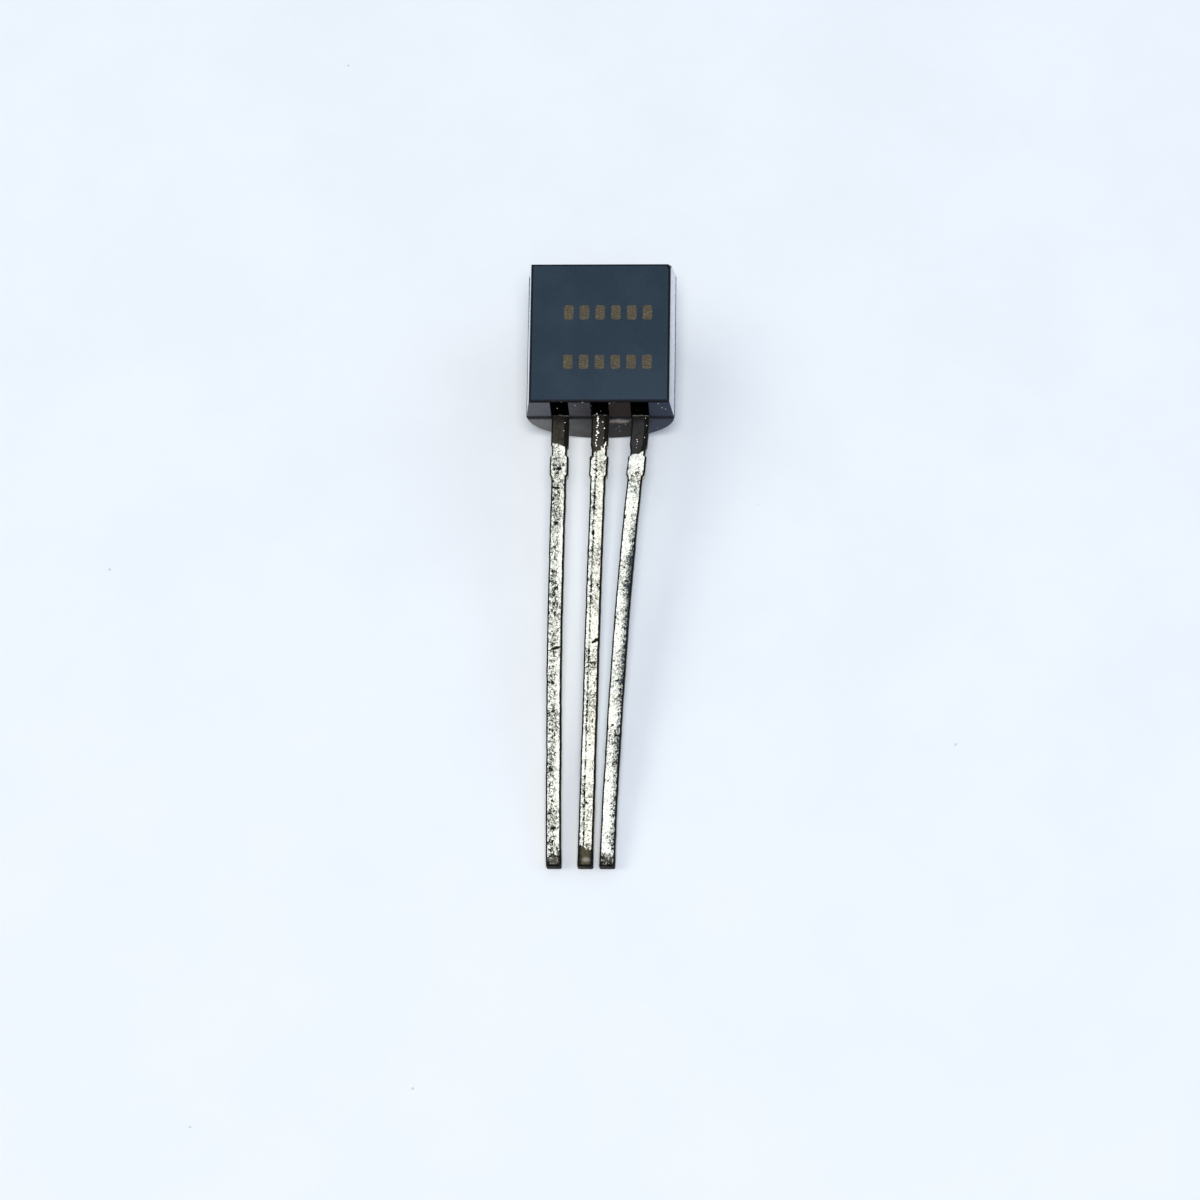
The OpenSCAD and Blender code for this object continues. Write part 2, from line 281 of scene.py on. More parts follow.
def round_off(bm, edges, width, segments):
    bmesh.ops.bevel(bm, geom=edges, offset=width, offset_type="OFFSET", segments=segments, profile=0.5,
                    affect="EDGES", material=-1, clamp_overlap=True)


def verts_in(made):
    """The points among what an operator has made."""
    return [part for part in made["geom"] if isinstance(part, bmesh.types.BMVert)]


def stamp(bm, width, height, corner, segments, thick, place):
    """Adds an upright plate with cut or rounded corners to a mesh."""
    part = bmesh.new()
    pull(part, rectangle(part, width, height, corner, segments), (0, 0, thick))
    bmesh.ops.rotate(part, matrix=Matrix.Rotation(math.pi / 2, 3, "X"), verts=part.verts[:])
    bmesh.ops.translate(part, vec=place, verts=part.verts[:])
    mesh = bpy.data.meshes.new("plate")
    part.to_mesh(mesh)
    part.free()
    bm.from_mesh(mesh)
    bpy.data.meshes.remove(mesh)


def carve(bm, cutter, operation="DIFFERENCE"):
    """Cuts one closed mesh out of another, or joins the two."""
    objects = []
    for name, part in (("blank", bm), ("cutter", cutter)):
        bmesh.ops.recalc_face_normals(part, faces=part.faces[:])
        mesh = bpy.data.meshes.new(name)
        part.to_mesh(mesh)
        part.free()
        thing = bpy.data.objects.new(name, mesh)
        bpy.context.scene.collection.objects.link(thing)
        objects.append(thing)
    blank, tool = objects
    cut = blank.modifiers.new("cut", "BOOLEAN")
    cut.object = tool
    cut.operation = operation
    cut.solver = "EXACT"
    result = bpy.data.meshes.new_from_object(blank.evaluated_get(bpy.context.evaluated_depsgraph_get()))
    carved = bmesh.new()
    carved.from_mesh(result)
    meshes = [thing.data for thing in objects] + [result]
    for thing in objects:
        bpy.data.objects.remove(thing)
    for mesh in meshes:
        bpy.data.meshes.remove(mesh)
    return carved


# ---- moulded body ----

FACE_BEVEL, RIM_BEVEL = 0.72, 0.8  # share of an edge's rounding that its bevel takes off
WORN_SHARE = 0.42  # share of the worn corner's size that is cut off square to it
RIDGE = 0.018  # half width of the flash, in millimetres
ON_SEAM, CLOSE = 1e-4, 1e-3  # how near counts as on the parting line, and as on a face, in millimetres
SIDE_BAND, END_BAND = 0.03, 0.05  # how far in from the side and from an end the flash is raised, in millimetres

def drafted_blank(size):
    """D-shaped block, drafted both ways from the parting line on y = 0."""
    half, tall, deep = mm(size.width) / 2, mm(size.height), mm(size.front_depth)
    bm = bmesh.new()
    bmesh.ops.create_circle(bm, cap_ends=True, radius=half, segments=128)
    bmesh.ops.bisect_plane(bm, geom=bm.verts[:] + bm.edges[:] + bm.faces[:], dist=1e-5,
                           plane_co=(0, 0, 0), plane_no=(0, -1, 0), clear_outer=True)
    chord = [e for e in bm.edges if all(abs(v.co.y) < ON_SEAM for v in e.verts)]
    front = verts_in(bmesh.ops.extrude_edge_only(bm, edges=chord))
    bmesh.ops.translate(bm, vec=(0, -deep, 0), verts=front)
    bmesh.ops.scale(bm, vec=(1 - deep * math.tan(size.side_draft) / half, 1, 1), verts=front)
    made = bmesh.ops.extrude_face_region(bm, geom=bm.faces[:])
    bmesh.ops.translate(bm, vec=(0, 0, tall), verts=verts_in(made))
    bmesh.ops.recalc_face_normals(bm, faces=bm.faces[:])

    # each end leans in towards both faces
    slope = math.tan(size.end_draft)
    for upper in (False, True):
        for towards in (-1, 1):
            lean = Matrix.Identity(4)
            lean[2][1] = (-slope if upper else slope) * towards
            end = [v for v in bm.verts if (v.co.z > tall / 2) == upper and v.co.y * towards > ON_SEAM]
            bmesh.ops.transform(bm, matrix=lean, verts=end)
    return bm


def wear_corner(bm, size):
    """Takes a little off the flat face's top right corner."""
    half, tall, deep = mm(size.width) / 2, mm(size.height), mm(size.front_depth)
    corner = Vector((half - deep * math.tan(size.side_draft), -deep, tall - deep * math.tan(size.end_draft)))
    normal = Vector((1.0, -0.55, 0.75)).normalized()
    made = bmesh.ops.bisect_plane(bm, geom=bm.verts[:] + bm.edges[:] + bm.faces[:], dist=1e-5, clear_outer=True,
                                  plane_co=corner - normal * mm(size.worn_corner) * WORN_SHARE, plane_no=normal)
    rim = [g for g in made["geom_cut"] if isinstance(g, bmesh.types.BMEdge)]
    bmesh.ops.edgenet_fill(bm, edges=rim)


def round_edges(bm, size):
    """Rounds the flat face's edges and the curved back's rims."""
    deep, tall, half = mm(size.front_depth), mm(size.height), mm(size.width) / 2
    face_edges = [e for e in bm.edges if all(v.co.y < CLOSE - deep for v in e.verts)]
    round_off(bm, face_edges, mm(size.face_edge) * FACE_BEVEL, 4)
    rims = [e for e in bm.edges
            if all(v.co.y > -ON_SEAM and abs(math.hypot(v.co.x, v.co.y) - half) < CLOSE for v in e.verts)
            and abs(e.verts[0].co.z - e.verts[1].co.z) < tall / 4
            and not all(abs(v.co.y) < ON_SEAM for v in e.verts)]
    round_off(bm, rims, mm(size.rim_edge) * RIM_BEVEL, 3)


def raise_flash(bm, size):
    """Fine ridge that the two mould halves leave round the parting line."""
    half, tall, out = mm(size.width) / 2, mm(size.height), mm(size.flash)
    round_off(bm, [e for e in bm.edges if all(abs(v.co.y) < ON_SEAM for v in e.verts)], RIDGE, 2)
    for vert in bm.verts:
        if abs(vert.co.y) < CLOSE:
            if abs(vert.co.x) > half - SIDE_BAND:
                vert.co.x += math.copysign(out, vert.co.x)
            if vert.co.z < END_BAND or vert.co.z > tall - END_BAND:
                vert.co.z += math.copysign(out, vert.co.z - tall / 2)


def slot_cutter(size, leads, place):
    """Wedge in front of a lead, from behind the flat face's lip, sloping up to the lead."""
    lip = mm(size.slot_lip) - mm(size.front_depth)
    foot = mm(size.front_depth) * math.tan(size.end_draft)
    high, half_t = mm(size.slot_height), mm(leads.thick) / 2
    bm = bmesh.new()
    side = [bm.verts.new((place - mm(size.slot_width) / 2, y, z))
            for y, z in ((lip, -0.5), (lip, foot + 0.12), (-half_t, high), (0, high), (0, -0.5))]
    made = bmesh.ops.extrude_face_region(bm, geom=[bm.faces.new(side)])
    bmesh.ops.translate(bm, vec=(mm(size.slot_width), 0, 0), verts=verts_in(made))
    return bm


def ejector_cutter(size):
    bm = bmesh.new()
    bmesh.ops.create_cone(bm, cap_ends=True, segments=64, radius1=mm(size.ejector_width) / 2,
                          radius2=mm(size.ejector_width) / 2, depth=1.0)
    bmesh.ops.rotate(bm, matrix=Matrix.Rotation(math.pi / 2, 3, "X"), verts=bm.verts[:])
    bmesh.ops.translate(bm, vec=(0, mm(size.width) / 2 - mm(size.ejector_sink) + 0.5, mm(size.ejector_up)),
                        verts=bm.verts[:])
    return bm


def gate_scar(size):
    """Rough stump where the gate was broken off the top."""
    rng = random.Random(7)
    tall, out = mm(size.height), mm(size.gate_out)
    bm = bmesh.new()
    face = rectangle(bm, mm(size.gate_width), mm(size.gate_thick))
    bmesh.ops.translate(bm, vec=(0, 0, tall - 0.1), verts=bm.verts[:])
    top = pull(bm, face, (0, 0, 0.1 + out * 0.7))
    bmesh.ops.subdivide_edges(bm, edges=list(top.edges), cuts=9, use_grid_fill=True)
    for vert in bm.verts:
        if vert.co.z > tall:
            vert.co.z = tall + out * (0.45 + 0.5 * rng.random())
    return bm


def build_body(size, leads):
    bm = drafted_blank(size)
    wear_corner(bm, size)
    round_edges(bm, size)
    raise_flash(bm, size)
    for place in (-1, 0, 1):
        bm = carve(bm, slot_cutter(size, leads, place * mm(leads.pitch)))
    bm = carve(bm, ejector_cutter(size))
    bm = carve(bm, gate_scar(size), "UNION")

    bmesh.ops.recalc_face_normals(bm, faces=bm.faces[:])
    for face in bm.faces:
        face.material_index = BODY_FINISHES.index(body_finish(face, size, leads))
    return finish_mesh(bm, "moulded_body", sharp=30.0)


BODY_FINISHES = ("skin", "slot", "wall", "end", "edge")


def body_finish(face, size, leads):
    """Which finish a face of the body takes, from where it lies and which way it looks."""
    centre, looks = face.calc_center_median(), face.normal
    deep, pitch = mm(size.front_depth), mm(leads.pitch)
    from_lead = min(abs(centre.x - n * pitch) for n in (-1, 0, 1))
    over_end = centre.z - abs(centre.y) * math.tan(size.end_draft)
    if (from_lead < mm(size.slot_width) / 2 + CLOSE and mm(size.slot_lip) - deep - CLOSE < centre.y < CLOSE
            and 2e-3 < over_end and centre.z < mm(size.slot_height) + CLOSE):
        return "slot"
    if centre.y < 0 and abs(looks.x) > 0.9:
        return "wall"
    if looks.z < -0.9:
        return "end"
    if centre.y < 0.12 - deep and looks.y > -0.985:
        return "edge"
    return "skin"


BLOCK_CORNER, BLOCK_THICK = 0.07, 0.004  # rounding and thickness of a block, in millimetres


def build_marks(marks, size):
    """Two rows of plain blocks, bleached into the flat face."""
    bm = bmesh.new()
    face_top = mm(size.height) - mm(size.front_depth) * math.tan(size.end_draft)
    for row in range(2):
        for column in range(marks.across):
            x = mm(marks.aside) + (column - (marks.across - 1) / 2) * mm(marks.block_pitch)
            z = face_top - mm(marks.first_row) - row * mm(marks.row_pitch)
            stamp(bm, mm(marks.block_width), mm(marks.block_height), BLOCK_CORNER, 3, BLOCK_THICK,
                  (x, 0.001 - mm(size.front_depth), z))
    return finish_mesh(bm, "face_marks")


# ---- leads ----

RING_GAP = 0.16  # spacing of the rings along a lead, in millimetres
UNEVEN = 0.010  # how uneven the tin leaves a lead, in millimetres


def lead_line(leads, place, lean, bow):
    """A lead's centre line, which gives its sideways place at any height: straight at the root, then
    leaning and bowed."""
    start, reach = mm(leads.bend_down), mm(leads.reach)

    def centre(z):
        t = max(0.0, (-z - start) / (reach - start))
        return place + lean * t + bow * math.sin(math.pi * t)
    return centre


def lead_width(leads, z):
    """Width of a lead at height z: its root, the stubs of the cut tie bar and the plain leg."""
    down, stub = -z, mm(leads.stub_down)
    if down < mm(leads.root_length):
        return mm(leads.root_width)
    if stub < down < stub + mm(leads.stub_height):
        return mm(leads.stub_width)
    return mm(leads.width)


def lead_stations(leads, top):
    """Heights of the rings of a lead, closer where its width changes."""
    root, stub = -mm(leads.root_length), -mm(leads.stub_down)
    under = stub - mm(leads.stub_height)
    heights = [top]
    for low in (root + 0.02, root - 0.03, stub + 0.02, stub - 0.03, under + 0.03, under - 0.04,
                0.03 - mm(leads.reach)):
        count = max(1, round((heights[-1] - low) / RING_GAP))
        heights += [heights[-1] + (low - heights[-1]) * (i + 1) / count for i in range(count)]
    return heights


def lead_run(bm, leads, centre, top, seed):
    """Pulls a lead's rounded section down from inside the body to its cut tip."""
    rng = random.Random(seed)
    thick = mm(leads.thick)
    heights = lead_stations(leads, top)
    face = rectangle(bm, lead_width(leads, top), thick, mm(leads.edge), 3)
    bmesh.ops.translate(bm, vec=(centre(top), 0, top), verts=list(face.verts))
    wide, deep = lead_width(leads, top), thick
    for above, z in zip(heights, heights[1:]):
        uneven = 0.0 if z > -mm(leads.root_length) else UNEVEN
        new_wide = lead_width(leads, z) + rng.uniform(-uneven, uneven)
        new_deep = thick + (rng.uniform(-uneven, 0.0) if uneven else 0.0)
        move = (centre(z) - centre(above) + rng.uniform(-uneven, uneven) * 0.3, 0, z - above)
        face = pull(bm, face, move, (new_wide / wide, new_deep / deep))
        wide, deep = new_wide, new_deep
    pull(bm, face, (0, 0, -0.03), (0.9, 0.9))


def string_beads(bm, leads, centre, beads, seed):
    """String of small solder beads caught on the front of a lead's root."""
    rng = random.Random(seed)
    count, aside, start, end, radius = beads
    for number in range(count):
        size = radius * rng.uniform(0.55, 1.2)
        down = start + (end - start) * (number + rng.uniform(-0.3, 0.3)) / max(1, count - 1)
        made = bmesh.ops.create_icosphere(bm, subdivisions=2, radius=size)
        bmesh.ops.scale(bm, vec=(rng.uniform(0.7, 1.1), 0.6, rng.uniform(0.9, 1.3)), verts=made["verts"])
        x = centre(-down) + aside + rng.uniform(-0.035, 0.035)
        bmesh.ops.translate(bm, vec=(x, -mm(leads.thick) / 2, -down), verts=made["verts"])
        for vert in made["verts"]:
            for face in vert.link_faces:
                face.material_index = 1


def build_lead(leads, name, centre, row):
    """One lead with its head, with where each point lies across, through and along it, and how far
    it is from the left and the right side."""
    bm = bmesh.new()
    lead_run(bm, leads, centre, row["top"], row["seed"])
    left, right, low, high = row["head"]
    stamp(bm, right - left, high - low, mm(leads.head_chamfer), 1, mm(leads.thick),
          ((left + right) / 2, mm(leads.thick) / 2, (low + high) / 2))
    bmesh.ops.remove_doubles(bm, verts=bm.verts[:], dist=1e-5)
    rings = {}
    for vert in bm.verts:
        rings.setdefault(round(vert.co.z, 3), []).append(vert.co.x)
    for number, beads in enumerate(row["beads"]):
        string_beads(bm, leads, centre, beads, row["seed"] + number)
    spots = bm.verts.layers.float_vector.new("lead_place")
    sides = bm.verts.layers.float_vector.new("lead_sides")
    for vert in bm.verts:
        ring = rings.get(round(vert.co.z, 3), [vert.co.x])
        vert[spots] = Vector((vert.co.x - centre(vert.co.z), vert.co.y, -vert.co.z)) * MM
        vert[sides] = Vector((vert.co.x - min(ring), max(ring) - vert.co.x, 0.0)) * MM
    return finish_mesh(bm, name, sharp=50.0)


# ---- finishes ----

def add(tree, kind, settings=None, inputs=()):
    """Adds a node. Its settings may be just its operation. Its inputs go by name or in its own order, and
    each takes a value, an output, or a node's first output in use."""
    made = tree.nodes.new("ShaderNode" + kind)
    settings = {"operation": settings} if isinstance(settings, str) else settings or {}
    for key, value in settings.items():
        setattr(made, key, value)
    for key, value in inputs.items() if isinstance(inputs, dict) else enumerate(inputs):
        if isinstance(value, bpy.types.Node):
            value = next(out for out in value.outputs if out.enabled)
        if isinstance(value, bpy.types.NodeSocket):
            tree.links.new(value, made.inputs[key])
        else:
            made.inputs[key].default_value = value
    return made


SMOOTH = {"interpolation_type": "SMOOTHSTEP"}
TONES = {"data_type": "RGBA"}
VALUES = {"data_type": "FLOAT"}
AMOUNT, TONE_A, TONE_B, VALUE_A, VALUE_B = 0, 6, 7, 2, 3


def per_mm(size):
    """Texture scale at which one cell of a pattern is that many millimetres wide."""
    return 1.0 / (size * MM)


def new_material(name, inputs):
    """Material with one shader, and the inputs that are the same all over it."""
    material = bpy.data.materials.new(name)
    material.use_nodes = True
    tree = material.node_tree
    tree.nodes.clear()
    surface = add(tree, "BsdfPrincipled", None, inputs)
    add(tree, "OutputMaterial", None, {"Surface": surface})
    return material, tree, surface


def dress(tree, surface, **looks):
    """Links what changes over a surface to its shader."""
    names = {"colour": "Base Color", "roughness": "Roughness", "normal": "Normal"}
    for look, node in looks.items():
        tree.links.new(next(out for out in node.outputs if out.enabled), surface.inputs[names[look]])


def package_place(tree):
    """Where a point lies on the upright package, in metres."""
    spot = add(tree, "TexCoord")
    return add(tree, "Mapping", {"vector_type": "TEXTURE"},
               {"Vector": spot.outputs["Object"], "Location": PACKAGE_ORIGIN, "Rotation": (LIE_TURN, 0, 0)})


def compound_grain(tree, place):
    """Silica filler under the skin. Its grains are a few hundredths of a millimetre wide, and are drawn
    a little coarser to show."""
    return add(tree, "TexNoise", None,
               {"Vector": place, "Scale": per_mm(0.06), "Detail": 2.0, "Roughness": 0.6})


def with_seam_shade(tree, place, tone, finish, reach):
    """Darkens a tone along the parting line: painted shadow of the flash's step beside it."""
    split = add(tree, "SeparateXYZ", None, {"Vector": place})
    off = add(tree, "Math", "ABSOLUTE", (split.outputs["Y"],))
    seam_shade = add(tree, "MapRange", SMOOTH, (off, reach * MM, reach * 0.6 * MM, 0.0, 0.9))
    return add(tree, "Mix", TONES, {AMOUNT: seam_shade, TONE_A: tone, TONE_B: finish.edge})


def filler_glints(tree, place, share):
    """Bare grains of filler painted pale, partly as painted glints, in a share of the cells that they are drawn
    from.
    """
    grains = add(tree, "TexVoronoi", None, {"Vector": place, "Scale": per_mm(0.11), "Randomness": 1.0})
    dot = add(tree, "MapRange", SMOOTH, (grains.outputs["Distance"], 0.24, 0.16))
    lot = add(tree, "SeparateXYZ", None, {"Vector": grains.outputs["Color"]})
    kept = add(tree, "Math", "LESS_THAN", (lot.outputs["X"], share))
    return add(tree, "Math", "MULTIPLY", (dot, kept))


def from_oval(tree, place, middle, halves, turn=(0, 0, 0)):
    """How far a point lies from the middle of an oval, as a share of the oval's half widths."""
    oval = add(tree, "Mapping", {"vector_type": "TEXTURE"},
               {"Vector": place, "Location": middle, "Rotation": turn, "Scale": halves})
    return add(tree, "VectorMath", "LENGTH", (oval,)).outputs["Value"]


def skin_material(finish):
    """Epoxy moulding compound, transfer moulded in a spark-eroded cavity: a satin slate skin whose
    silica filler shows as fine grain, with a paler bloom of mould release in soft patches."""
    material, tree, surface = new_material(
        "moulded_epoxy_compound", {"Roughness": 0.42, "IOR": 1.52, "Specular IOR Level": 0.11})
    place = package_place(tree)
    grain = compound_grain(tree, place)
    cloud = add(tree, "TexNoise", None,
                {"Vector": place, "Scale": per_mm(1.6), "Detail": 3.0, "Roughness": 0.55})
    patches = add(tree, "MapRange", SMOOTH, (cloud, 0.38, 0.62, 0.0, 0.35))
    specks = add(tree, "MapRange", SMOOTH, (grain, 0.35, 0.75, 0.0, 0.35))
    bloom = add(tree, "Math", "ADD", (patches, specks))
    tone = add(tree, "Mix", TONES, {AMOUNT: bloom, TONE_A: finish.compound, TONE_B: finish.bloom})
    satin = add(tree, "MapRange", SMOOTH, (cloud, 0.3, 0.7, 0.38, 0.50))
    bump = add(tree, "Bump", None, {"Strength": 0.5, "Distance": 0.006 * MM, "Height": grain})
    dress(tree, surface, colour=with_seam_shade(tree, place, tone, finish, 0.03), roughness=satin, normal=bump)
    return material


def wall_material(finish):
    """The same compound on the drafted side walls, burnished by its neighbours in the bag and left with a film
    of dust: finely spotted with a paler grey that is partly painted sheen, and pale when it is seen along the
    wall."""
    material, tree, surface = new_material(
        "burnished_epoxy_compound",
        {"IOR": 1.5, "Coat Weight": 1.0, "Coat Roughness": 0.08, "Coat IOR": 1.4, "Sheen Weight": 0.3,
         "Sheen Roughness": 0.35, "Sheen Tint": linear("#d3e3ff")})
    place = package_place(tree)
    spots = add(tree, "TexNoise", None,
                {"Vector": place, "Scale": per_mm(0.13), "Detail": 3.0, "Roughness": 0.6})
    # paler spots: partly rubbed wear, partly painted sheen
    worn = add(tree, "MapRange", SMOOTH, (spots, 0.62, 0.42))
    tone = add(tree, "Mix", TONES, {AMOUNT: worn, TONE_A: finish.compound, TONE_B: finish.rubbed_and_sheen})
    gloss = add(tree, "Mix", VALUES, {AMOUNT: worn, VALUE_A: 0.38, VALUE_B: 0.16})
    dress(tree, surface, colour=with_seam_shade(tree, place, tone, finish, 0.03), roughness=gloss)
    return material


def end_material(finish):
    """The same compound on the lower end, round the leads: matt and gritty, with painted light and shade in
    its tone: lighter towards the collector and bluish towards the emitter, darker between the base and the
    emitter where the leads shade it, and lit and shaded tones of its own behind the parting line."""
    material, tree, surface = new_material(
        "dusty_epoxy_compound", {"Roughness": 0.62, "IOR": 1.5, "Specular IOR Level": 0.1})
    place = package_place(tree)
    grain = compound_grain(tree, place)
    cloud = add(tree, "TexNoise", None,
                {"Vector": place, "Scale": per_mm(0.7), "Detail": 4.0, "Roughness": 0.6})
    # painted light and shade: lighter towards the collector, bluish towards the emitter, darker between the
    # base and the emitter where the leads shade it, and other tones behind the parting line
    split = add(tree, "SeparateXYZ", None, {"Vector": place})
    ragged = add(tree, "Math", "MULTIPLY_ADD", (cloud, 1.2 * MM, split.outputs["X"]))
    left = add(tree, "MapRange", SMOOTH, (ragged, -1.5 * MM, 1.1 * MM))
    behind = add(tree, "MapRange", SMOOTH, (split.outputs["Y"], 0.0, 0.1 * MM))
    right = add(tree, "MapRange", SMOOTH, (ragged, 1.7 * MM, 2.3 * MM))
    tone = add(tree, "Mix", TONES, {AMOUNT: behind, TONE_A: finish.end_lit_left, TONE_B: finish.end_lit_behind})
    middle = add(tree, "Mix", TONES, {AMOUNT: behind, TONE_A: finish.end_shade_middle, TONE_B: finish.end_shaded})
    tone = add(tree, "Mix", TONES, {AMOUNT: left, TONE_A: tone, TONE_B: middle})
    grit = add(tree, "MapRange", SMOOTH, (grain, 0.5, 0.72, 0.0, 0.35))
    glints = filler_glints(tree, place, 0.03)
    for amount, over in ((right, finish.end_lit_right), (grit, finish.compound), (glints, finish.filler)):
        tone = add(tree, "Mix", TONES, {AMOUNT: amount, TONE_A: tone, TONE_B: over})
    tone = with_seam_shade(tree, place, tone, finish, 0.2)
    # a pale scrape behind the parting line, between the base and the emitter
    far = from_oval(tree, place, (0.56 * MM, 0.34 * MM, 0.0), (0.36 * MM, 0.26 * MM, MM),
                    (0, 0, math.radians(-6)))
    far = add(tree, "Math", "MULTIPLY_ADD", (cloud, -2.6, far))
    far = add(tree, "Math", "MULTIPLY_ADD", (grain, -1.6, far))
    shown = add(tree, "MapRange", SMOOTH, (far, -1.0, -1.6, 0.0, 0.8))
    tone = add(tree, "Mix", TONES, {AMOUNT: shown, TONE_A: tone, TONE_B: finish.scrape})
    bump = add(tree, "Bump", None, {"Strength": 0.7, "Distance": 0.01 * MM, "Height": grain})
    dress(tree, surface, colour=tone, normal=bump)
    return material


def edge_material(finish):
    """The same compound on the rounded edges of the flat face, where handling has worn the bloom away:
    it is left dark."""
    material, tree, surface = new_material(
        "worn_epoxy_edge", {"Roughness": 0.5, "IOR": 1.5, "Specular IOR Level": 0.1})
    place = package_place(tree)
    grain = compound_grain(tree, place)
    left_over = add(tree, "MapRange", SMOOTH, (grain, 0.55, 0.75, 0.0, 0.5))
    tone = add(tree, "Mix", TONES, {AMOUNT: left_over, TONE_A: finish.edge, TONE_B: finish.compound})
    bump = add(tree, "Bump", None, {"Strength": 0.4, "Distance": 0.006 * MM, "Height": grain})
    dress(tree, surface, colour=tone, normal=bump)
    return material


def slot_shade_material(finish):
    """The same compound deep in the slots, painted black as the shade there, with a few pale grains of filler.
    """
    material, tree, surface = new_material(
        "broken_epoxy_compound", {"Roughness": 0.8, "IOR": 1.4, "Specular IOR Level": 0.05})
    glints = filler_glints(tree, package_place(tree), 0.4)
    dress(tree, surface, colour=add(tree, "Mix", TONES,
                                    {AMOUNT: glints, TONE_A: finish.slot, TONE_B: finish.filler}))
    return material


def laser_material(finish):
    """Compound bleached by a marking laser: matt and brownish with fine scan lines, scuffed pale in spots
    and half rubbed away in others."""
    material, tree, surface = new_material(
        "laser_bleached_compound", {"Roughness": 0.7, "IOR": 1.45, "Specular IOR Level": 0.3})
    place = package_place(tree)
    split = add(tree, "SeparateXYZ", None, {"Vector": place})
    line = add(tree, "Math", "PINGPONG", (split.outputs["Z"], 0.045 * MM))
    scan = add(tree, "MapRange", SMOOTH, (line, 0.0, 0.045 * MM, 0.0, 0.5))
    burnt = add(tree, "MapRange", SMOOTH, (compound_grain(tree, place), 0.4, 0.7, 0.0, 0.5))
    both = add(tree, "Math", "ADD", (scan, burnt))
    scuffs = add(tree, "TexNoise", None,
                 {"Vector": place, "Scale": per_mm(0.07), "Detail": 3.0, "Roughness": 0.7})
    pale = add(tree, "MapRange", SMOOTH, (scuffs, 0.50, 0.70, 0.0, 0.5))
    wear = add(tree, "TexNoise", None, {"Vector": place, "Scale": per_mm(0.3), "Detail": 3.0, "Roughness": 0.6})
    gone = add(tree, "MapRange", SMOOTH, (wear, 0.46, 0.66, 0.0, 0.4))
    tone = finish.laser
    for amount, over in ((both, finish.laser_deep), (pale, finish.laser_pale), (gone, finish.compound)):
        tone = add(tree, "Mix", TONES, {AMOUNT: amount, TONE_A: tone, TONE_B: over})
    dress(tree, surface, colour=tone)
    return material


# What sets the three leads apart, in millimetres: their order from the middle, the top of the lead and
# its head (left, right, low, high), and the seed of its unevenness. In its tin: which stretch of the
# patterns it takes, where the bare root ends and how it slants, the cut tip (height, polish, smeared
# tin), the line that pits gather on (place, half width, weight), the painted shade on its right flank,
# its yellowish share and how much it is worn all over. Then its nicks (across, along, half width, half
# height, slant in degrees) and its strings of solder beads (count, aside, from, to, radius).
LEAD_LOOKS = {
    "collector": {
        "order": -1, "top": 2.1, "head": (-1.62, 0.49, 1.9, 3.7), "seed": 3, "patch": 3.1,
        "root": (0.97, -0.5), "tip": (0.36, 0.3, 0.55), "pit_line": (-0.06, 0.20, 0.062),
        "flank": 0.0, "warm": 0.15, "wear": -0.004,
        "nicks": ((-0.06, 2.42, 0.17, 0.035, -8), (0.0, 7.75, 0.24, 0.045, 18), (-0.02, 13.6, 0.10, 0.10, 0),
                  (-0.03, 14.0, 0.06, 0.05, 0), (-0.03, 3.6, 0.08, 0.06, 30)),
        "beads": ((2, 0.14, 0.22, 0.62, 0.024),),
    },
    "base": {
        "order": 0, "top": 1.2, "head": (-0.45, 0.45, 0.95, 1.5), "seed": 5, "patch": 11.7,
        "root": (1.12, 1.5), "tip": (0.62, 1.0, 0.0), "pit_line": (-0.085, 0.045, 0.10),
        "flank": 0.0, "warm": 0.6, "wear": 0.006,
        "nicks": ((0.10, 7.5, 0.15, 0.06, 32), (0.0, 8.2, 0.20, 0.022, 2), (-0.10, 2.7, 0.10, 0.025, -20),
                  (-0.09, 3.9, 0.05, 0.09, 0), (0.02, 10.9, 0.04, 0.04, 0)),
        "beads": ((13, -0.085, 0.02, 0.98, 0.038), (3, 0.12, 0.15, 0.7, 0.024)),
    },
    "emitter": {
        "order": 1, "top": 2.5, "head": (0.89, 1.65, 2.25, 2.8), "seed": 11, "patch": 23.9,
        "root": (1.24, 0.15), "tip": (0.36, 0.25, 0.9), "pit_line": (0.08, 0.12, 0.032),
        "flank": 1.0, "warm": 0.1, "wear": -0.008,
        "nicks": ((0.21, 10.6, 0.10, 0.05, 0), (0.0, 8.8, 0.07, 0.035, 10), (-0.06, 8.3, 0.03, 0.03, 0),
                  (-0.05, 10.25, 0.05, 0.04, 0), (-0.2, 3.4, 0.04, 0.06, 0), (-0.10, 2.0, 0.04, 0.03, 0)),
        "beads": ((4, -0.06, 0.80, 1.05, 0.018), (3, 0.20, 0.05, 0.7, 0.020)),
    },
}


